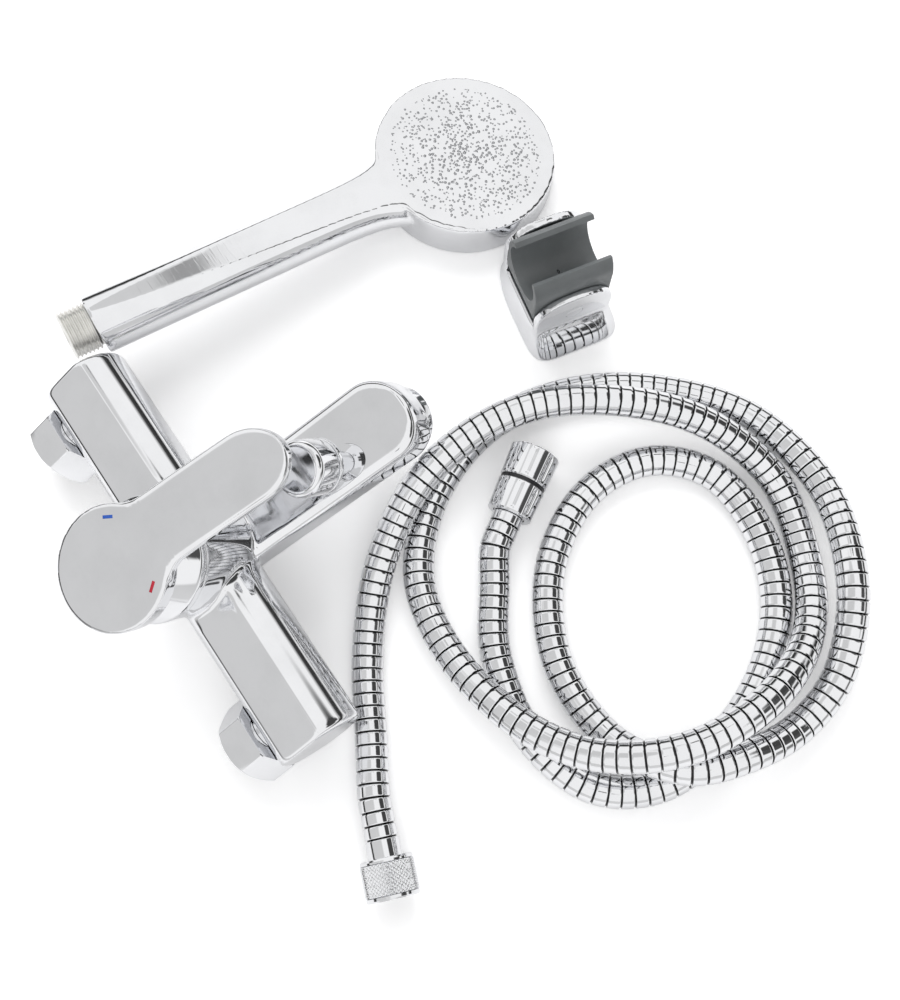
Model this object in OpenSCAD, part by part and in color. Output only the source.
// Bath and shower mixer kit: single lever mixer, hand shower, wall holder and ribbed hose.
// The kit lies as laid out on a table. Z is up, the table is z = 0, X runs along the mixer's bar.
// Sizes are in millimetres.

/* [Mixer body] */
// Distance between the two inlet centres
inlet_centres = 150; // [140:1:160]
// Diameter of the round bar
bar_d = 36; // [34:1:40]
// Length of the bar
bar_len = 184; // [180:1:210]
// Height of the bar's flat top above its axis
bar_flat_z = 15.1; // [13:0.1:16.5]
// Rounding at the bar's ends
bar_edge = 2.5; // [1:0.5:5]
// Diameter of the round valve housing
house_d = 49; // [48:1:54]
// Top of the valve housing above the bar's axis
house_top = 30; // [28:1:34]
// Depth of the housing's straight wall below the bar's axis
house_low = 6; // [4:1:9]
// How far the mixer is rolled back as it lies
roll_back = 30; // [26:1:34]

/* [Spout] */
// Reach of the spout from the bar's axis
spout_reach = 100; // [94:1:115]
// Fall of the spout's top towards its tip, in degrees
spout_slope = 19; // [15:1:22]
// Top of the spout where it leaves the housing, below the bar's axis
spout_root_drop = 4; // [2:1:6]
// Thickness of the spout
spout_thick = 21; // [20:1:26]
// Width of the spout at the housing
spout_root_w = 34; // [32:1:38]
// Width of the spout at its tip
spout_tip_w = 37; // [35:1:42]
// Length of the rounded end seen from above
spout_end = 15; // [10:1:20]
// Length of the downward curve at the tip
spout_nose = 4; // [3:1:8]
// Outward lean of the aerator, in degrees
aerator_lean = 20; // [12:1:24]

/* [Aerator] */
// Outer diameter of the aerator ring
aerator_d = 28; // [26:0.5:30]
// Height of the aerator ring that shows
aerator_h = 6; // [6:0.5:11]
// Diameter of the aerator's threaded neck
aerator_neck_d = 23; // [21:0.5:24]
// Length of the aerator's threaded neck
aerator_neck_h = 6; // [4:0.5:7]

/* [Lever] */
// Diameter of the round lever head
lever_d = 49; // [46:1:52]
// Height of the lever head
lever_head_h = 8; // [7:0.5:10]
// Wall of the lever head
lever_wall = 3; // [2.5:0.5:3.5]
// Top of the lever head above the bar's axis
lever_top = 52; // [51:1:58]
// Width of the lever's paddle
paddle_w = 29; // [24:1:34]
// Thickness of the paddle
paddle_t = 4.5; // [3.5:0.5:5]
// Reach of the paddle from the middle of the bar
paddle_reach = 72; // [68:1:76]
// Lift of the lever when fully open, in degrees
lever_lift = 25; // [15:1:25]

/* [Cartridge] */
// Diameter of the ceramic cartridge
cartridge_d = 35; // [35:0.5:36]
// Diameter of the ceramic discs
disc_d = 23; // [20:0.5:24]
// Thickness of each ceramic disc
disc_t = 3; // [2:0.5:3.5]
// Diameter of the hot and cold ports
port_d = 6.4; // [5:0.2:7]
// Width of the square stem
stem_w = 7.6; // [6:0.2:8]

/* [Diverter] */
// Diameter of the diverter knob
knob_d = 22.5; // [20:0.5:24]
// Height of the diverter knob
knob_h = 34; // [30:1:35]
// Travel of the diverter knob
knob_travel = 5; // [3:0.5:5]
// Offset of the knob from the spout's middle
knob_x = -7; // [-7:0.5:0]
// Distance of the knob from the bar's axis
knob_out = 68; // [60:1:70]
// Diameter of the diverter stem
divert_stem_d = 4; // [3:0.5:5]

/* [Inlets and outlet] */
// Hexagon width of the union nuts
nut_af = 30; // [29:1:32]
// Far face of the union nuts from the bar's axis
nut_far = 30; // [29:1:34]
// Length of the union nuts
nut_len = 13.5; // [12:0.5:14]
// Thread diameter of the union nuts
union_thread_d = 24.12; // [23.8:0.02:24.2]
// Bore of the inlet tails
tail_bore_d = 15; // [12:0.5:16]
// Thread diameter of the shower outlet and hand shower
hose_thread_d = 20.96; // [20.6:0.02:21]

/* [Hand shower] */
// Diameter of the spray head
head_d = 82; // [76:1:92]
// Height of the spray head at its middle
head_h = 20; // [18:1:24]
// Rise of the back plane towards the handle, in degrees
head_rise = 8.25; // [7:0.25:9]
// Distance from the head's middle to the end of the handle
handle_reach = 181; // [170:1:200]
// Diameter of the handle at its end
handle_end_d = 27; // [25:0.5:29]
// Diameter of the handle at the head
handle_root_d = 24; // [23:0.5:26]
// Wall of the spray head
head_wall = 2; // [1.6:0.1:2.4]
// Rings of spray holes
spray_rings = 4; // [2:1:4]
// Length of the thread at the end of the handle
handle_thread_l = 13; // [9:0.5:15]

/* [Wall holder] */
// Length of the holder's base
base_l = 57; // [50:1:64]
// Width of the holder's base
base_w = 43; // [40:1:48]
// Thickness of the holder's base
base_t = 8; // [5:0.5:10]
// Height of the cradle's pivot above the wall face
pivot_z = 21; // [20:0.5:23]
// Thickness of each cheek of the holder
cheek_t = 3.5; // [2.5:0.5:4.5]
// Height of the near cheek's top
cheek_top = 35; // [33:1:38]
// How much higher the far cheek stands
cheek_rise = 9; // [4:1:10]
// Length of the cradle
cradle_l = 36; // [30:1:42]
// Inner diameter of the cradle
cradle_d = 24; // [22:0.5:25]
// Wall of the cradle
cradle_wall = 2.6; // [2:0.1:3]
// Height of the cradle's middle
cradle_z = 38; // [37:0.5:41]
// Diameter of the serrated pivot barrel
barrel_d = 10; // [8:0.5:11]

/* [Hose] */
// Outer diameter of the hose over its ribs
hose_d = 13.4; // [12:0.2:13.4]
// Diameter of the hose in the grooves between ribs
hose_groove_d = 12; // [10.6:0.2:12]
// Bore of the hose
hose_bore_d = 8; // [6:0.5:9]
// Outer diameter of the knurled nut
knurl_nut_d = 21.8; // [20:0.2:23]
// Thread bore of the hose nuts
hose_nut_bore_d = 18.63; // [18.4:0.01:19]
// Length of the knurled nut
knurl_nut_l = 16; // [14:0.5:20]
// Outer diameter of the conical nut at its free end
cone_nut_d = 22; // [21.4:0.2:24]
// Outer diameter of the conical nut at the hose
cone_nut_root_d = 19.6; // [18:0.2:20]
// Length of the conical nut
cone_nut_l = 30; // [26:1:30]

/* [Fits] */
// Clearance between pieces that stand still
gap = 0.3; // [0.2:0.05:0.4]
// Clearance of running fits
run = 0.05; // [0.03:0.01:0.08]

/* [Hidden] */
$fn = 64;
// How far a cut runs past the face that it opens
over = 1;
bar_r = bar_d / 2;
house_r = house_d / 2;
inlet_x = inlet_centres / 2;

// Colours as the photograph shows them
chrome_col = [0.78, 0.79, 0.81];
brass_col = [0.80, 0.70, 0.45];
rubber_col = [0.10, 0.10, 0.11];
ceramic_col = [0.92, 0.92, 0.90];
plastic_col = [0.85, 0.86, 0.87];
cradle_col = [0.37, 0.39, 0.39];
blue_col = [0.10, 0.25, 0.65];
red_col = [0.65, 0.10, 0.15];

// Where the lying mixer stands: on its union nuts and on the shower outlet's rim
bar_end_x = 71;
mixer_x = bar_end_x - bar_len / 2;
mixer_y = 93;
outlet_y = -4;
// Room round the shower outlet for the wall of the hose's nut
outlet_room = 1.5;
thread_r = hose_thread_d / 2;
mixer_z = nut_far * sin(roll_back) + nut_af / 2 * cos(roll_back);
outlet_low = (mixer_z - (outlet_y + thread_r) * sin(roll_back)) / cos(roll_back);

module lying() {
    translate([mixer_x, mixer_y, mixer_z]) rotate([-roll_back, 0, 0]) children();
}

// A ring of revolution about Z from z0 to z1
module ring(outer, inner, z0, z1) {
    difference() {
        translate([0, 0, z0]) cylinder(r = outer, h = z1 - z0);
        translate([0, 0, z0 - over]) cylinder(r = inner, h = z1 - z0 + 2 * over);
    }
}

// A round bar between two points
module rod(a, b, r) {
    v = b - a;
    l = norm(v);
    translate(a) rotate([0, acos(v[2] / l), atan2(v[1], v[0])]) cylinder(r = r, h = l);
}

// Bar and housing

boss_r = thread_r + 3 * head_wall / 2;
boss_low = bar_r + bar_edge;
seat_z = 2;
bore_r = cartridge_d / 2 + gap;
nut_seat_z = 22;
ring_nut_r = 21;
inlet_way_r = 5;
inlet_way_y = 5;
inlet_way_z = -8;
port_r = port_d / 2;
port_x = 7.5;
mixed_port_y = -8;
mixed_port_r = 4;
mixed_low = 14;
divide = 3.5;

module bar_profile() {
    translate([0, -bar_len / 2]) square([bar_r - bar_edge, bar_len]);
    translate([0, bar_edge - bar_len / 2]) square([bar_r, bar_len - 2 * bar_edge]);
    for (s = [-1, 1]) translate([bar_r - bar_edge, s * (bar_len / 2 - bar_edge)]) circle(r = bar_edge);
}

module bar_shape() {
    intersection() {
        rotate([0, 90, 0]) rotate_extrude() bar_profile();
        translate([-bar_len / 2, -bar_r, -bar_r]) cube([bar_len, bar_d, bar_r + bar_flat_z]);
    }
}

module housing_shape() {
    translate([0, 0, -house_low]) cylinder(r = house_r, h = house_low + house_top);
    translate([0, 0, -boss_low]) cylinder(r1 = boss_r, r2 = house_r, h = boss_low - house_low);
}

// Spout

function spout_top(out) = -spout_root_drop - (out - house_r) * tan(spout_slope);
spout_deep = spout_thick / cos(spout_slope);
nose_out = spout_reach - spout_nose;
nose_step = 15;
underside_share = 0.72;

function spout_side() = concat(
    [[0, spout_top(0)]],
    [for (a = [0 : nose_step : 90])
        [-nose_out - spout_nose * sin(a), spout_top(nose_out) - spout_nose * (1 - cos(a))]],
    [[-spout_reach, spout_top(spout_reach) - spout_deep * underside_share],
     [-nose_out, spout_top(nose_out) - spout_deep],
     [0, spout_top(0) - spout_deep]]);

end_step = 12;
function spout_plan() = concat(
    [[-spout_root_w / 2, 0], [spout_root_w / 2, 0]],
    [for (a = [0 : end_step : 180])
        [spout_tip_w / 2 * cos(a), -(spout_reach - spout_end) - spout_end * sin(a)]]);

module spout_shape() {
    intersection() {
        translate([-spout_tip_w / 2 - over, 0, 0]) rotate([90, 0, 90])
            linear_extrude(spout_tip_w + 2 * over) polygon(spout_side());
        translate([0, 0, -2 * spout_reach]) linear_extrude(3 * spout_reach) polygon(spout_plan());
    }
}

// Aerator place: the mouth's middle, with the frame's Z pointing back into the spout
mouth_in = 14;
mouth_out = spout_reach - mouth_in;
mouth_z = spout_top(mouth_out) - spout_deep + (mouth_out > nose_out ? (mouth_out - nose_out) : 0);
aerator_boss_r = aerator_d / 2 + head_wall;
aerator_boss_h = 9;
mouth_clear = aerator_h + spout_nose;
aerator_bore_r = aerator_neck_d / 2 + run;
water_room_r = 9;
water_room_h = 4;

module at_mouth() {
    translate([0, -mouth_out, mouth_z]) rotate([-aerator_lean, 0, 0]) children();
}

// Diverter place: the frame's Z is the knob's axis and its origin lies on the spout's top
knob_lean = 6;
knob_r = knob_d / 2;
divert_bore_r = 7.5;
gland_deep = 4;
seat_deep = 7;
seat_low = 9;
washer_t = 2;
washer_r = 6.3;
divert_low = seat_low + knob_travel + washer_t + 2 * gap;
seat_hole_r = 4.5;
feed_r = 3.4;
outflow_r = 2.4;

module at_knob() {
    translate([knob_x, -knob_out, spout_top(knob_out)]) rotate([-knob_lean, 0, 0]) children();
}

// Point in the mixer's frame of a depth below the spout's top on the knob's axis
function below_knob(deep) = [knob_x, -knob_out - deep * sin(knob_lean),
    spout_top(knob_out) - deep * cos(knob_lean)];
// Point in the mixer's frame of a height inside the mouth
function above_mouth(h) = [0, -mouth_out + h * sin(aerator_lean), mouth_z + h * cos(aerator_lean)];

// Inlets
nut_near = nut_far - nut_len;
nut_corner = nut_af / sqrt(3);
tail_r = 10;
tail_flange_r = 11.7;
tail_flange_t = 2;
lip_t = 2.5;
tail_in = 8;
pocket_r = nut_corner + gap + run;

module mixer_solid() {
    bar_shape();
    housing_shape();
    spout_shape();
    intersection() {
        at_mouth() cylinder(r = aerator_boss_r, h = aerator_boss_h);
        translate([-spout_reach, -spout_reach, -spout_reach])
            cube([2 * spout_reach, spout_reach, spout_reach - spout_root_drop]);
    }
}

module mixer_cuts() {
    // cartridge chamber and the thread of its ring nut
    translate([0, 0, seat_z]) cylinder(r = bore_r, h = house_top);
    translate([0, 0, nut_seat_z]) cylinder(r = ring_nut_r + run, h = house_top);
    // hot and cold ways along the bar
    for (s = [-1, 1]) {
        rod([s * divide, inlet_way_y, inlet_way_z], [s * inlet_x, inlet_way_y, inlet_way_z], inlet_way_r);
        translate([s * port_x, inlet_way_y, inlet_way_z]) cylinder(r = port_r, h = seat_z - inlet_way_z + over);
        translate([s * inlet_x, inlet_way_y, inlet_way_z]) sphere(r = inlet_way_r);
        rod([s * inlet_x, inlet_way_y - inlet_way_r, 0], [s * inlet_x, bar_r + over, 0], tail_bore_d / 2);
        rod([s * inlet_x, tail_in, 0], [s * inlet_x, bar_r + over, 0], tail_r + run);
        rod([s * inlet_x, nut_near - gap, 0], [s * inlet_x, bar_r + over, 0], pocket_r);
    }
    // mixed water: down to the shower outlet and out along the spout
    translate([0, mixed_port_y, -mixed_low]) cylinder(r = mixed_port_r, h = mixed_low + seat_z + over);
    translate([0, outlet_y, -outlet_low]) cylinder(r = thread_r - head_wall, h = outlet_low - mixed_low);
    translate([0, outlet_y, -outlet_low - over]) cylinder(r = thread_r + outlet_room, h = outlet_low + over - boss_low);
    rod([0, mixed_port_y, inlet_way_z - gap], below_knob(divert_low - feed_r), feed_r);
    rod(below_knob((gland_deep + seat_deep) / 2), above_mouth(aerator_neck_h + water_room_h - outflow_r), outflow_r);
    // diverter chamber
    at_knob() translate([0, 0, -divert_low]) cylinder(r = divert_bore_r, h = divert_low + over);
    at_knob() cylinder(r = divert_bore_r, h = spout_nose);
    // mouth of the spout
    at_mouth() translate([0, 0, -over]) cylinder(r = aerator_bore_r, h = aerator_neck_h + over + gap);
    at_mouth() cylinder(r = water_room_r, h = aerator_neck_h + water_room_h);
    at_mouth() translate([0, 0, -mouth_clear]) cylinder(r = aerator_boss_r + spout_nose, h = mouth_clear);
}

module mixer_body() {
    color(chrome_col) lying() difference() {
        mixer_solid();
        mixer_cuts();
    }
}

// Cover ring between the housing and the lever
collar_r = house_r + head_wall / 4;
collar_top_r = 18;
collar_h = 12;
collar_foot = 3;
collar_wall = 2.5;
collar_hole_r = 15.2;

module collar() {
    color(chrome_col) lying() translate([0, 0, house_top]) difference() {
        union() {
            cylinder(r = collar_r, h = collar_foot);
            translate([0, 0, collar_foot]) cylinder(r1 = collar_r, r2 = collar_top_r, h = collar_h - collar_foot);
        }
        translate([0, 0, -over]) cylinder(r = collar_r - collar_wall, h = over + collar_foot / 2);
        translate([0, 0, collar_foot / 2]) cylinder(r1 = collar_r - collar_wall, r2 = collar_hole_r,
            h = collar_h - collar_foot - collar_foot / 2);
        translate([0, 0, collar_h - 2 * collar_foot]) cylinder(r = collar_hole_r, h = 3 * collar_foot);
    }
}

// Cartridge, from its seat upwards
base_top = 6;
disc_top = base_top + disc_t;
slide_low = disc_top + run;
slide_top = slide_low + disc_t;
carrier_top = 17;
shell_r = cartridge_d / 2;
shell_in_r = 14.6;
shell_roof = 22;
shoulder_z = 24;
neck_out_r = 13;
neck_in_r = 11;
neck_top = 27;
rotor_r = shell_in_r - gap;
rotor_neck_r = neck_in_r - gap;
rotor_top = 33;
pin_z = 28;
pin_r = 1.5;
arm = 12;
ball_r = 3.6;
rest_tilt = lever_lift / 2;
slide_rest = arm * sin(rest_tilt);
seal_t = 1.6;
seal_wall = 1.4;
seal_room = 1.2;

// The three ports, given the radius that each takes beyond its own
module ports(more, z0, z1) {
    for (s = [-1, 1]) translate([s * port_x, inlet_way_y, z0]) cylinder(r = port_r + more, h = z1 - z0);
    translate([0, mixed_port_y, z0]) cylinder(r = mixed_port_r + more, h = z1 - z0);
}

module cartridge_base() {
    color(plastic_col) lying() difference() {
        translate([0, 0, seat_z + seal_t - seal_room]) cylinder(r = shell_r, h = base_top - seat_z - seal_t + seal_room);
        ports(0, seat_z - over, base_top + over);
        ports(seal_wall + run, seat_z - over, seat_z + seal_t);
    }
}

module base_seals() {
    color(rubber_col) lying() difference() {
        ports(seal_wall, seat_z, seat_z + seal_t);
        ports(0, seat_z - over, seat_z + seal_t + over);
    }
}

module fixed_disc() {
    color(ceramic_col) lying() difference() {
        translate([0, 0, base_top]) cylinder(r = shell_in_r - gap, h = disc_t);
        ports(0, base_top - over, disc_top + over);
    }
}

mix_pocket_share = 0.6;
module moving_disc() {
    color(ceramic_col) lying() translate([0, slide_rest, 0]) difference() {
        translate([0, 0, slide_low]) cylinder(r = disc_d / 2, h = disc_t);
        translate([0, mixed_port_y / 2, slide_low - over])
            cylinder(r = mixed_port_r, h = over + disc_t * mix_pocket_share);
    }
}

module disc_carrier() {
    color(plastic_col) lying() translate([0, slide_rest, 0]) difference() {
        translate([0, 0, slide_top]) cylinder(r = disc_d / 2, h = carrier_top - slide_top);
        translate([0, 0, pin_z - arm - ball_r - gap]) cylinder(r = ball_r + gap, h = carrier_top);
    }
}

module cartridge_shell() {
    color(plastic_col) lying() {
        ring(shell_r, shell_in_r, base_top, shell_roof);
        ring(shell_r, neck_in_r, shell_roof, shoulder_z);
        ring(neck_out_r, neck_in_r, shoulder_z, neck_top);
    }
}

ring_nut_h = 5.5;
module cartridge_nut() {
    color(brass_col) lying() ring(ring_nut_r, neck_out_r + gap, shoulder_z, shoulder_z + ring_nut_h);
}

module cartridge_rotor() {
    color(plastic_col) lying() difference() {
        union() {
            translate([0, 0, carrier_top + gap]) cylinder(r = rotor_r, h = shell_roof - carrier_top - 2 * gap);
            translate([0, 0, carrier_top + gap]) cylinder(r = rotor_neck_r, h = rotor_top - carrier_top - gap);
        }
        translate([-stem_w / 2 - gap, -rotor_neck_r + seal_wall, carrier_top])
            cube([stem_w + 2 * gap, 2 * (rotor_neck_r - seal_wall), rotor_top]);
        translate([0, 0, pin_z]) rotate([0, 90, 0])
            cylinder(r = pin_r, h = 2 * rotor_neck_r + 2 * over, center = true);
    }
}

module lever_pin() {
    color(chrome_col) lying() translate([0, 0, pin_z]) rotate([0, 90, 0])
        cylinder(r = pin_r, h = 2 * rotor_neck_r - gap, center = true);
}

// Frame of the tilted stem, with its origin on the pin
module at_stem() {
    translate([0, 0, pin_z]) rotate([rest_tilt, 0, 0]) children();
}

stem_up = 18;
stem_waist = 3;
module cartridge_stem() {
    color(chrome_col) lying() at_stem() difference() {
        union() {
            translate([-stem_w / 2, -stem_w / 2, -arm / 2]) cube([stem_w, stem_w, stem_up + arm / 2]);
            translate([0, 0, -arm]) cylinder(r = stem_waist, h = arm);
            translate([0, 0, -arm]) sphere(r = ball_r);
        }
        rotate([0, 90, 0]) cylinder(r = pin_r + run, h = stem_w + 2 * over, center = true);
    }
}

// Lever: a shallow cap with a hub on the stem and a paddle over the spout
lever_back = 3;
lever_lean = 4.5;
hub_r = 8;
hub_low = 10.5;
lever_r = lever_d / 2;
paddle_knee_shares = [[0, 0], [0.25, 0.23], [0.62, 0.60], [1, 1]];
paddle_fall = 23.1;
paddle_root = 20;

module at_head() {
    translate([0, lever_back, lever_top]) rotate([lever_lean, 0, 0]) children();
}

// Top line of the paddle, from under the head to the tip
function paddle_line() = [for (p = paddle_knee_shares)
    [-paddle_root - (paddle_reach - paddle_root) * p[0],
     lever_top - lever_wall / 2 - paddle_fall * p[1]]];
function paddle_side() = let (t = paddle_line(), n = len(t))
    concat(t, [for (i = [n - 1 : -1 : 0]) [t[i][0], t[i][1] - paddle_t / cos(lever_lift)]]);

module paddle_shape() {
    intersection() {
        translate([-paddle_w / 2 - over, 0, 0]) rotate([90, 0, 90])
            linear_extrude(paddle_w + 2 * over) polygon(paddle_side());
        linear_extrude(2 * lever_top) {
            translate([-paddle_w / 2, paddle_w / 2 - paddle_reach])
                square([paddle_w, paddle_reach - paddle_w / 2]);
            translate([0, paddle_w / 2 - paddle_reach]) circle(r = paddle_w / 2);
        }
    }
}

mark_x = 16;
mark_y = 10.7;
mark_l = 4.4;
mark_w = 1.3;
mark_t = 0.6;
mark_proud = 0.1;

module mark_at(side) {
    at_head() translate([side * mark_x, -mark_y, 0]) rotate([0, 0, side * atan2(mark_x, mark_y)])
        children();
}

module mark_box(more, up) {
    translate([-mark_l / 2 - more, -mark_w / 2 - more, -mark_t])
        cube([mark_l + 2 * more, mark_w + 2 * more, mark_t + up]);
}

screw_r = 2.5;
screw_l = 5;
module lever() {
    color(chrome_col) lying() difference() {
        union() {
            at_head() translate([0, 0, -lever_head_h]) difference() {
                cylinder(r = lever_r, h = lever_head_h);
                translate([0, 0, -over]) cylinder(r = lever_r - lever_wall, h = lever_head_h - lever_wall + over);
            }
            intersection() {
                at_stem() translate([0, 0, stem_up - hub_low]) cylinder(r = hub_r, h = 2 * hub_low);
                at_head() translate([-lever_r, -lever_r, -lever_d]) cube([lever_d, lever_d, lever_d - lever_wall / 2]);
            }
            paddle_shape();
        }
        at_stem() translate([-stem_w / 2 - run, -stem_w / 2 - run, 0])
            cube([stem_w + 2 * run, stem_w + 2 * run, stem_up + run]);
        at_stem() translate([0, 0, stem_up - hub_low + screw_l]) rotate([90, 0, 0]) cylinder(r = screw_r, h = 2 * hub_r);
        for (s = [-1, 1]) mark_at(s) mark_box(0, over);
    }
}

module lever_screw() {
    color(chrome_col) lying() at_stem() translate([0, -stem_w / 2 - run, stem_up - hub_low + screw_l])
        rotate([90, 0, 0]) difference() {
            cylinder(r = screw_r, h = screw_l - over);
            translate([0, 0, screw_l / 2]) cylinder(r = screw_r / 2, h = screw_l, $fn = 6);
        }
}

module cold_mark() { color(blue_col) lying() mark_at(1) mark_box(0, mark_proud); }
module hot_mark() { color(red_col) lying() mark_at(-1) mark_box(0, mark_proud); }

// Diverter
knob_neck_r = 4;
cone_top_share = 0.52;
knob_band = 2.4;
knob_groove = 1.2;

function knob_profile() = let (c = knob_h * cone_top_share)
    [[0, gap], [knob_neck_r, gap], [knob_r - knob_groove, c], [knob_r, c], [knob_r, c + knob_band],
     [knob_r - knob_groove, c + knob_band], [knob_r - knob_groove, c + knob_band + knob_groove],
     [knob_r, c + knob_band + knob_groove], [knob_r, knob_h - knob_groove],
     [knob_r - knob_groove, knob_h], [0, knob_h]];

module diverter_knob() {
    color(chrome_col) lying() at_knob() difference() {
        rotate_extrude() polygon(knob_profile());
        translate([0, 0, -over]) cylinder(r = divert_stem_d / 2, h = knob_h / 2);
    }
}

module diverter_stem() {
    color(brass_col) lying() at_knob() translate([0, 0, -divert_low + gap])
        cylinder(r = divert_stem_d / 2, h = divert_low - gap + knob_h / 2 - over);
}

module diverter_washer() {
    color(rubber_col) lying() at_knob()
        ring(washer_r, divert_stem_d / 2, -divert_low + gap, -divert_low + gap + washer_t);
}

module diverter_gland() {
    color(brass_col) lying() at_knob() ring(divert_bore_r - run, divert_stem_d / 2 + run, -gland_deep, 0);
}

module diverter_seat() {
    color(brass_col) lying() at_knob() difference() {
        ring(divert_bore_r - run, seat_hole_r, -seat_low, -gland_deep);
        translate([0, -divert_bore_r, -(gland_deep + seat_deep) / 2]) rotate([90, 0, 0])
            cylinder(r = outflow_r, h = 2 * divert_bore_r, center = true);
    }
}

// Aerator
insert_t = 5;
insert_r = 9.6;
ledge_r = 8.4;
washer_low_t = 2;
hole_r = 1.1;
module aerator_housing() {
    color(chrome_col) lying() at_mouth() difference() {
        union() {
            translate([0, 0, -aerator_h]) cylinder(r = aerator_d / 2, h = aerator_h);
            cylinder(r = aerator_neck_d / 2, h = aerator_neck_h - washer_low_t);
        }
        translate([0, 0, -aerator_h - over]) cylinder(r = ledge_r, h = 2 * aerator_h);
        translate([0, 0, over - aerator_h]) cylinder(r = insert_r + gap, h = 2 * aerator_h);
    }
}

module aerator_insert() {
    color(plastic_col) lying() at_mouth() difference() {
        translate([0, 0, over - aerator_h]) cylinder(r = insert_r, h = insert_t);
        for (q = [1, 2]) for (i = [0 : 6 * q - 1]) rotate([0, 0, 60 * i / q])
            translate([q * insert_r / 3, 0, -aerator_h]) cylinder(r = hole_r, h = insert_t + 2 * over);
    }
}

module aerator_washer() {
    color(rubber_col) lying() at_mouth() ring(aerator_neck_d / 2 - gap, insert_r - over,
        aerator_neck_h - washer_low_t, aerator_neck_h);
}

// Inlet pieces, about the inlet's axis along +Y
module at_inlet(side) {
    translate([side * inlet_x, 0, 0]) rotate([-90, 0, 0]) children();
}

flange_at = nut_near + lip_t + gap;
module inlet_tail(side) {
    color(chrome_col) lying() at_inlet(side) difference() {
        union() {
            translate([0, 0, tail_in]) cylinder(r = tail_r, h = flange_at - tail_in);
            translate([0, 0, flange_at]) cylinder(r = tail_flange_r, h = tail_flange_t);
        }
        translate([0, 0, tail_in - over]) cylinder(r = tail_bore_d / 2, h = flange_at);
    }
}
module inlet_tail_left() { inlet_tail(-1); }
module inlet_tail_right() { inlet_tail(1); }

module union_nut(side) {
    color(chrome_col) lying() at_inlet(side) difference() {
        translate([0, 0, nut_near]) cylinder(r = nut_corner, h = nut_len, $fn = 6);
        translate([0, 0, nut_near - over]) cylinder(r = tail_r + gap, h = lip_t + 2 * over);
        translate([0, 0, nut_near + lip_t]) cylinder(r = union_thread_d / 2 + gap, h = inlet_thread_at - nut_near - lip_t);
        translate([0, 0, inlet_thread_at - over]) cylinder(r = union_thread_d / 2, h = nut_len);
    }
}
module union_nut_left() { union_nut(-1); }
module union_nut_right() { union_nut(1); }

inlet_washer_t = 2.5;
// The nut's thread starts past the washer, with a plain relief below it
inlet_thread_at = flange_at + tail_flange_t + inlet_washer_t + gap;
module inlet_washer(side) {
    color(rubber_col) lying() at_inlet(side)
        ring(tail_flange_r, tail_bore_d / 2, flange_at + tail_flange_t, flange_at + tail_flange_t + inlet_washer_t);
}
module inlet_washer_left() { inlet_washer(-1); }
module inlet_washer_right() { inlet_washer(1); }

// Shower outlet below the housing
outlet_top = 15;
valve_r = 6.4;
valve_l = 9;
module shower_outlet() {
    color(brass_col) lying() translate([0, outlet_y, 0]) {
        ring(thread_r, valve_r + run, -outlet_low, -boss_low);
        ring(thread_r - head_wall, valve_r + run, -boss_low, -outlet_top);
    }
}

module check_valve() {
    color(plastic_col) lying() translate([0, outlet_y, -outlet_low + over]) difference() {
        cylinder(r = valve_r, h = valve_l);
        for (i = [0 : 3]) rotate([0, 0, 90 * i]) translate([valve_r / 2, 0, -over])
            cylinder(r = valve_r / 4, h = valve_l + 2 * over);
    }
}

// Hand shower, in a frame with its origin under the head's middle and Y along the handle
head_x = 72;
head_y = -103;
handle_yaw = 4.9;
head_r = head_d / 2;
handle_bore_r = 9.5;
handle_bore_root_r = 7.8;
root_y = 30;
root_drop = 8.5;
end_drop = handle_end_d / 2;
function back_z(y) = head_h + y * tan(head_rise);
root_z = back_z(head_r) - root_drop;
end_z = back_z(handle_reach) - end_drop;
handle_pitch = atan((end_z - root_z) / (handle_reach - head_r));
function axis_z(y) = root_z + (y - head_r) * tan(handle_pitch);

module at_handset() {
    translate([head_x, head_y, 0]) rotate([0, 0, -handle_yaw]) children();
}

// Frame on the handle's axis at a distance y along it, Z pointing to the thread
module on_handle(y) {
    translate([0, y, axis_z(y)]) rotate([handle_pitch - 90, 0, 0]) children();
}

// Everything below the back plane, dropped by d
module below_back(d) {
    translate([0, 0, head_h - d]) rotate([head_rise, 0, 0])
        translate([-2 * head_d, -2 * head_d, -2 * head_d]) cube([4 * head_d, 5 * head_d, 2 * head_d]);
}

handle_l = (handle_reach - root_y) / cos(handle_pitch);
module handset_shell() {
    color(chrome_col) at_handset() difference() {
        intersection() {
            union() {
                cylinder(r = head_r, h = 2 * head_h);
                on_handle(root_y) cylinder(r1 = handle_root_d / 2, r2 = handle_end_d / 2, h = handle_l);
            }
            below_back(0);
        }
        intersection() {
            translate([0, 0, -over]) cylinder(r = head_r - head_wall, h = 2 * head_h);
            below_back(head_wall);
        }
        intersection() {
            on_handle(root_y) cylinder(r1 = handle_bore_root_r, r2 = handle_bore_r, h = handle_l);
            below_back(head_wall);
        }
    }
}

// Spray face
face_ring_w = 4;
face_ring_h = 5;
plate_t = 2;
plate_z = 1;
rebate = 1.6;
face_out_r = head_r - head_wall - run;
face_in_r = face_out_r - face_ring_w;
plate_r = face_in_r + rebate;
nozzle_r = 1.1;
nozzle_pitch = 8;
nozzle_tip = 0.4;
nozzle_l = 3.6;
nozzle_head = 1.2;

module face_ring() {
    color(chrome_col) at_handset() difference() {
        ring(face_out_r, face_in_r, 0, face_ring_h);
        translate([0, 0, -over]) cylinder(r = plate_r + run, h = over + plate_z + plate_t);
    }
}

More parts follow.
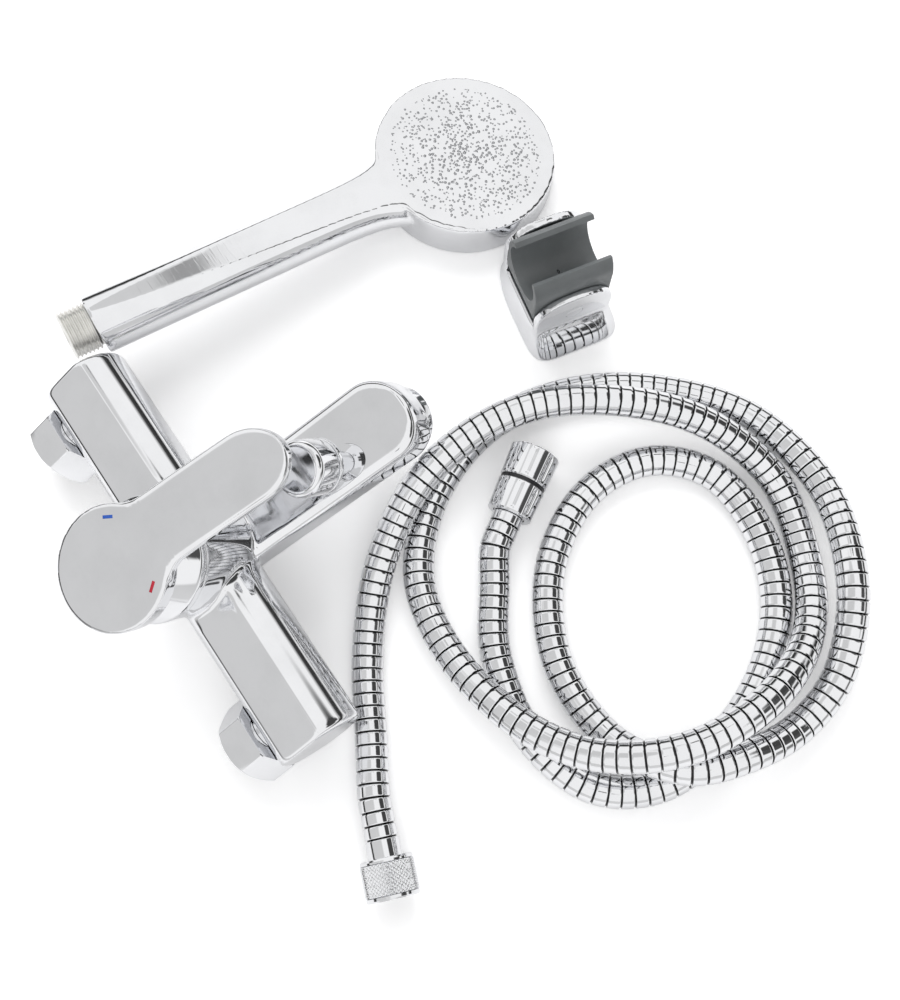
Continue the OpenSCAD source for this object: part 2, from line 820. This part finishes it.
module spray_grid() {
    for (q = [1 : spray_rings]) for (i = [0 : 6 * q - 1])
        rotate([0, 0, 60 * i / q]) translate([q * nozzle_pitch, 0, 0]) children();
}

module spray_plate() {
    color(plastic_col) at_handset() difference() {
        translate([0, 0, plate_z]) cylinder(r = plate_r, h = plate_t);
        spray_grid() cylinder(r = nozzle_r + run, h = face_ring_h, $fn = 24);
    }
}

module spray_nozzles() {
    color(rubber_col) at_handset() {
        spray_grid() translate([0, 0, nozzle_tip]) cylinder(r = nozzle_r, h = nozzle_l - nozzle_tip, $fn = 24);
        difference() {
            translate([0, 0, plate_z + plate_t]) cylinder(r = face_in_r - gap, h = nozzle_head);
            spray_grid() cylinder(r = nozzle_r / 2, h = face_ring_h, $fn = 24);
        }
    }
}

// Cover behind the spray face, with the socket that takes the tube
cover_z = 5;
cover_t = 2;
tube_r = 5.5;
tube_bore_r = 4.2;
socket_y = 24;
socket_l = 12;
socket_wall = 2;
seal_ring_t = 2;
seal_ring_w = 0.7;
module handset_cover() {
    color(plastic_col) at_handset() difference() {
        union() {
            translate([0, 0, cover_z]) cylinder(r = face_out_r, h = cover_t);
            intersection() {
                union() {
                    on_handle(socket_y) cylinder(r = tube_r + gap + socket_wall, h = socket_l);
                    translate([-tube_r, socket_y, cover_z]) cube([2 * tube_r, socket_l / 2, axis_z(socket_y) - cover_z]);
                }
                below_back(head_wall + gap);
                cylinder(r = face_out_r - gap, h = 2 * head_h);
            }
        }
        on_handle(socket_y + socket_wall) cylinder(r = tube_r + gap, h = socket_l + over);
        translate([0, socket_y + socket_l / 3, cover_z - over]) cylinder(r = tube_bore_r / 2, h = axis_z(socket_y) - cover_z);
    }
}

module handset_seal() {
    color(rubber_col) at_handset() on_handle(socket_y + socket_l + gap)
        ring(tube_r + seal_ring_w, tube_r + run, 0, seal_ring_t);
}

insert_l = 16;
tube_start = socket_y + socket_wall + gap;
tube_l = (handle_reach - insert_l / 2 - tube_start) / cos(handle_pitch);
module handset_tube() {
    color(plastic_col) at_handset() on_handle(tube_start) ring(tube_r, tube_bore_r, 0, tube_l);
}

module handset_thread() {
    color(brass_col) at_handset() on_handle(handle_reach) difference() {
        union() {
            translate([0, 0, -insert_l]) cylinder(r = handle_bore_r - gap - run, h = insert_l + over);
            cylinder(r = thread_r, h = handle_thread_l);
        }
        translate([0, 0, -insert_l - over]) cylinder(r = tube_bore_r, h = insert_l + handle_thread_l + 2 * over);
        translate([0, 0, -insert_l - over]) cylinder(r = tube_r + run, h = insert_l / 2 + over);
    }
}

// Wall holder, in a frame with its origin at the middle of the round end
holder_x = 5.2;
holder_y = -102.6;
holder_turn = -12;
base_r = base_w / 2;
body_lean_share = 0.72;
cheek_in = cradle_d / 2 + cradle_wall + gap;
cheek_out = cheek_in + cheek_t;
head_back = 7;
barrel_r = barrel_d / 2;
barrel_z = pivot_z;
floor_z = barrel_z - barrel_r - cradle_wall - gap;
hand_screw_r = 2.4;
cradle_r = cradle_d / 2 + cradle_wall;

module at_holder() { translate([holder_x, holder_y, 0]) rotate([0, 0, holder_turn]) children(); }
module at_cradle() { at_holder() translate([-head_back, 0, 0]) children(); }

module holder_foot(grow, t) {
    translate([base_r - base_l, -base_r * grow, 0]) cube([base_l - base_r, base_w * grow, t]);
    cylinder(r = base_r * grow, h = t);
}

module holder_solid() {
    at_holder() holder_foot(1, base_t);
    at_cradle() {
        translate([-cheek_out, -cradle_l / 2 * body_lean_share, 0])
            cube([2 * cheek_out, cradle_l * body_lean_share, floor_z]);
        for (s = [-1, 1]) translate([s > 0 ? cheek_in : -cheek_out, -cradle_l / 2, 0])
            cube([cheek_t, cradle_l, cheek_top + (s > 0 ? cheek_rise : 0)]);
    }
}

screw_y = 12;
module holder_body() {
    color(chrome_col) difference() {
        holder_solid();
        at_cradle() translate([0, 0, barrel_z]) rotate([0, 90, 0])
            cylinder(r = barrel_r - over, h = 2 * cheek_out + 2 * over, center = true);
        at_cradle() translate([-cheek_in, -cradle_l, floor_z])
            cube([2 * cheek_in, 2 * cradle_l, 2 * cheek_top]);
        at_holder() for (s = [-1, 1]) translate([0, s * screw_y, -over])
            cylinder(r = hand_screw_r, h = base_t / 2 + over);
    }
}

module holder_barrel() {
    color(chrome_col) at_cradle() translate([0, 0, barrel_z]) rotate([0, 90, 0]) {
        cylinder(r = barrel_r - over - run, h = 2 * cheek_out, center = true);
        cylinder(r = barrel_r, h = 2 * cheek_in - gap, center = true);
    }
}

// Open part of the cradle, as directions from its middle: from the long lip round to the short one
lip_long = 52;
lip_short = 141;
open_reach = 3 * cradle_r;
module holder_cradle() {
    color(cradle_col) at_cradle() difference() {
        union() {
            translate([0, 0, cradle_z]) rotate([90, 0, 0]) cylinder(r = cradle_r, h = cradle_l, center = true);
            translate([-cradle_r, -cradle_l / 2, barrel_z]) cube([2 * cradle_r, cradle_l, cradle_z - barrel_z]);
            translate([-cradle_r, 0, barrel_z]) rotate([0, 90, 0])
                cylinder(r = barrel_r + cradle_wall, h = 2 * cradle_r);
        }
        translate([0, 0, cradle_z]) rotate([90, 0, 0])
            cylinder(r = cradle_d / 2, h = cradle_l + 2 * over, center = true);
        translate([0, 0, cradle_z]) rotate([90, 0, 0])
            linear_extrude(cradle_l + 2 * over, center = true) polygon([[0, 0],
                [open_reach * cos(lip_long), open_reach * sin(lip_long)], [-open_reach, open_reach],
                [open_reach * cos(lip_short), open_reach * sin(lip_short)]]);
        translate([0, 0, barrel_z]) rotate([0, 90, 0])
            cylinder(r = barrel_r + run, h = 2 * cradle_r + 2 * over, center = true);
    }
}

// Hose: centre line points of the free stretch, chosen by hand
route = [
    [-123, 78, 9], [-90, 58, 8], [-62, 32, 14], [-44, -3, 23], [-43, -45, 27], [-60, -81, 27],
    [-89, -112, 20], [-124, -126, 10], [-158, -118, 7], [-184, -99, 14], [-197, -71, 27],
    [-199, -39, 33], [-191, -11, 34], [-173, 12, 27], [-146, 26, 21], [-110, 31, 12], [-76, 23, 8],
    [-50, -3, 7], [-38, -40, 7], [-45, -78, 7], [-66, -111, 7], [-99, -136, 8], [-142, -140, 13],
    [-180, -122, 20], [-206, -97, 15], [-215, -70, 13], [-212, -43, 20], [-201, -18, 22],
    [-175, -3, 10], [-138, -4, 8], [-105, -24, 7], [-87, -55, 7], [-89, -86, 7], [-109, -106, 7],
    [-138, -108, 7], [-166, -97, 7], [-187, -76, 7], [-200, -47, 7], [-203, -12, 7], [-187, 14, 7],
    [-155, 23, 7], [-121, 15, 7], [-97, -1, 9]
];
start_x = -156;
start_y = 94.8;
start_turn = -22;
end_x = -76;
end_y = -23;
end_turn = -58;
lead = hose_d + over / 2;
knurl_z = knurl_nut_d / 2;
cone_z = cone_nut_d / 2;
start_p = [start_x, start_y, knurl_z];
start_d = [cos(start_turn), sin(start_turn), 0];
end_p = [end_x, end_y, cone_z];
end_d = [cos(end_turn), sin(end_turn), 0];
line = concat([start_p + lead * start_d], route, [end_p - lead * end_d]);
last = len(line) - 1;
// Neighbours beyond the first and last point keep the curve along the straight leads
before = line[0] - start_d * norm(line[1] - line[0]);
after = line[last] + end_d * norm(line[last] - line[last - 1]);
function knot(i) = i < 0 ? before : i > last ? after : line[i];
function curve(a, b, c, d, t) = (2 * b + (c - a) * t + (2 * a - 5 * b + 4 * c - d) * t * t
    + (3 * b - a - 3 * c + d) * t * t * t) / 2;
steps = 8;
trail = concat([start_p],
    [for (i = [0 : last - 1]) for (k = [0 : steps - 1])
        curve(knot(i - 1), knot(i), knot(i + 1), knot(i + 2), k / steps)],
    [line[last], end_p]);
trail_n = len(trail);
runs = [for (i = 0, s = 0; i < trail_n; i = i + 1,
    s = s + (i < trail_n ? norm(trail[i] - trail[i - 1]) : 0)) s];
hose_l = runs[trail_n - 1];
look = [for (k = [0 : 2]) [for (i = [0 : trail_n - 1]) [runs[i], trail[i][k]]]];
function place(s) = [lookup(s, look[0]), lookup(s, look[1]), lookup(s, look[2])];
function unit(v) = v / norm(v);
feel = hose_d / 4;
function heading(s) = s < lead / 2 ? start_d : s > hose_l - lead / 2 ? end_d
    : unit(place(min(s + feel, hose_l)) - place(max(s - feel, 0)));
sides = 8;
function hoop(s, r) = let (p = place(s), t = heading(s), u = unit(cross([0, 0, 1], t)), w = cross(t, u))
    [for (k = [0 : sides - 1]) p + r * (cos(360 * k / sides) * u + sin(360 * k / sides) * w)];

hose_ribs = 198;
rib_pitch = hose_l / hose_ribs;
rib_share = 0.62;
bore_rings = 96;
// Outer skin: each rib is two hoops, a wide one and one in the groove
outer_s = concat([0], [for (i = [0 : hose_ribs - 1]) each
    [(i + 1 - rib_share) * rib_pitch, (i + 1) * rib_pitch]]);
outer_r = [for (i = [0 : len(outer_s) - 1]) i == 0 || i == len(outer_s) - 1 ? hose_groove_d / 2
    : i % 2 == 1 ? hose_d / 2 : hose_groove_d / 2];
inner_s = [for (i = [0 : bore_rings - 1]) hose_l * (1 - i / (bore_rings - 1))];
skin = concat([for (i = [0 : len(outer_s) - 1]) hoop(outer_s[i], outer_r[i])],
    [for (s = inner_s) hoop(s, hose_bore_d / 2)]);
skin_n = len(skin);

module hose() {
    color(chrome_col) polyhedron(points = [for (h = skin) each h],
        faces = [for (j = [0 : skin_n - 1]) for (k = [0 : sides - 1])
            let (a = j * sides + k, b = j * sides + (k + 1) % sides,
                 c = ((j + 1) % skin_n) * sides + (k + 1) % sides, d = ((j + 1) % skin_n) * sides + k)
            each [[a, b, c], [a, c, d]]], convexity = 10);
}

// Least gap of the hose to itself, measured between points at least eight diameters apart along it
probe_n = 700;
probes = [for (i = [0 : probe_n]) place(hose_l * i / probe_n)];
apart = ceil(3 * hose_d / (hose_l / probe_n));
self_gap = min([for (i = [0 : probe_n - apart]) for (j = [i + apart : probe_n])
    norm(probes[i] - probes[j])]) - hose_d;
echo(hose_length = hose_l, hose_self_gap = self_gap);

// Fittings on the hose, Z pointing away from the hose
module at_start() { translate(start_p) rotate([0, -90, start_turn]) children(); }
module at_end() { translate(end_p) rotate([0, 90, end_turn]) children(); }

ferrule_r = 6.8;
ferrule_l = 7;
ferrule_bore_r = hose_bore_d / 2;
collar_l = 2.5;
stop_r = 8.8;
nut_lip = 2.6;
module ferrule(l) {
    difference() {
        union() {
            cylinder(r = ferrule_r, h = l);
            translate([0, 0, l - collar_l]) cylinder(r = stop_r, h = collar_l);
        }
        translate([0, 0, -over]) cylinder(r = ferrule_bore_r, h = l + 2 * over);
    }
}

module hose_ferrule_start() { color(chrome_col) at_start() ferrule(ferrule_l + nut_lip + collar_l + gap); }

module knurled_nut() {
    color(chrome_col) at_start() translate([0, 0, ferrule_l]) difference() {
        cylinder(r = knurl_nut_d / 2, h = knurl_nut_l);
        translate([0, 0, -over]) cylinder(r = ferrule_r + gap, h = knurl_nut_l + 2 * over);
        translate([0, 0, nut_lip]) cylinder(r = stop_r + gap, h = collar_l + over);
        translate([0, 0, nut_lip + collar_l + gap]) nut_bore();
    }
}
nut_bore_r = hose_nut_bore_d / 2;
// A hose nut's bore from its washer on: a plain relief round the washer, then the thread
module nut_bore() {
    translate([0, 0, -over]) cylinder(r = nut_bore_r + gap, h = over + hose_washer_t + gap);
    cylinder(r = nut_bore_r, h = cone_nut_l);
}

hose_washer_t = 2;
module hose_washer() { ring(nut_bore_r - gap, ferrule_bore_r + over, 0, hose_washer_t); }

module knurled_nut_washer() {
    color(rubber_col) at_start() translate([0, 0, ferrule_l + nut_lip + collar_l + gap]) hose_washer();
}

// Conical nut in two grips with a dark ring between them
grip_share = 0.47;
dark_w = 1.6;
grip_l = cone_nut_l * grip_share;
cone_lip = 3;
function cone_r(z) = cone_nut_root_d / 2 + (cone_nut_d - cone_nut_root_d) / 2 * z / cone_nut_l;

module hose_ferrule_end() {
    color(chrome_col) at_end() ferrule(grip_l);
}

module cone_piece(z0, z1) { translate([0, 0, z0]) cylinder(r1 = cone_r(z0), r2 = cone_r(z1), h = z1 - z0); }

module cone_nut_grip() {
    color(chrome_col) at_end() difference() {
        cone_piece(0, grip_l);
        translate([0, 0, -over]) cylinder(r = ferrule_r + gap, h = cone_nut_l);
        translate([0, 0, grip_l - collar_l - gap]) cylinder(r = stop_r + gap / 2, h = cone_nut_l);
    }
}

module cone_nut_ring() {
    color(rubber_col) at_end() difference() {
        cone_piece(grip_l, grip_l + dark_w);
        translate([0, 0, grip_l - over]) cylinder(r = stop_r - over, h = dark_w + 2 * over);
    }
}

module cone_nut() {
    color(chrome_col) at_end() difference() {
        cone_piece(grip_l + dark_w, cone_nut_l);
        translate([0, 0, grip_l + dark_w]) nut_bore();
    }
}

module cone_nut_washer() {
    color(rubber_col) at_end() translate([0, 0, grip_l + dark_w]) hose_washer();
}

mixer_body();
collar();
cartridge_nut();
cartridge_shell();
cartridge_base();
base_seals();
fixed_disc();
moving_disc();
disc_carrier();
cartridge_rotor();
lever_pin();
cartridge_stem();
lever();
lever_screw();
cold_mark();
hot_mark();
diverter_knob();
diverter_stem();
diverter_washer();
diverter_gland();
diverter_seat();
aerator_housing();
aerator_insert();
aerator_washer();
inlet_tail_left();
inlet_tail_right();
union_nut_left();
union_nut_right();
inlet_washer_left();
inlet_washer_right();
shower_outlet();
check_valve();
handset_shell();
handset_cover();
handset_seal();
handset_tube();
handset_thread();
spray_plate();
spray_nozzles();
face_ring();
holder_body();
holder_barrel();
holder_cradle();
hose();
hose_ferrule_start();
hose_ferrule_end();
knurled_nut();
knurled_nut_washer();
cone_nut();
cone_nut_ring();
cone_nut_grip();
cone_nut_washer();
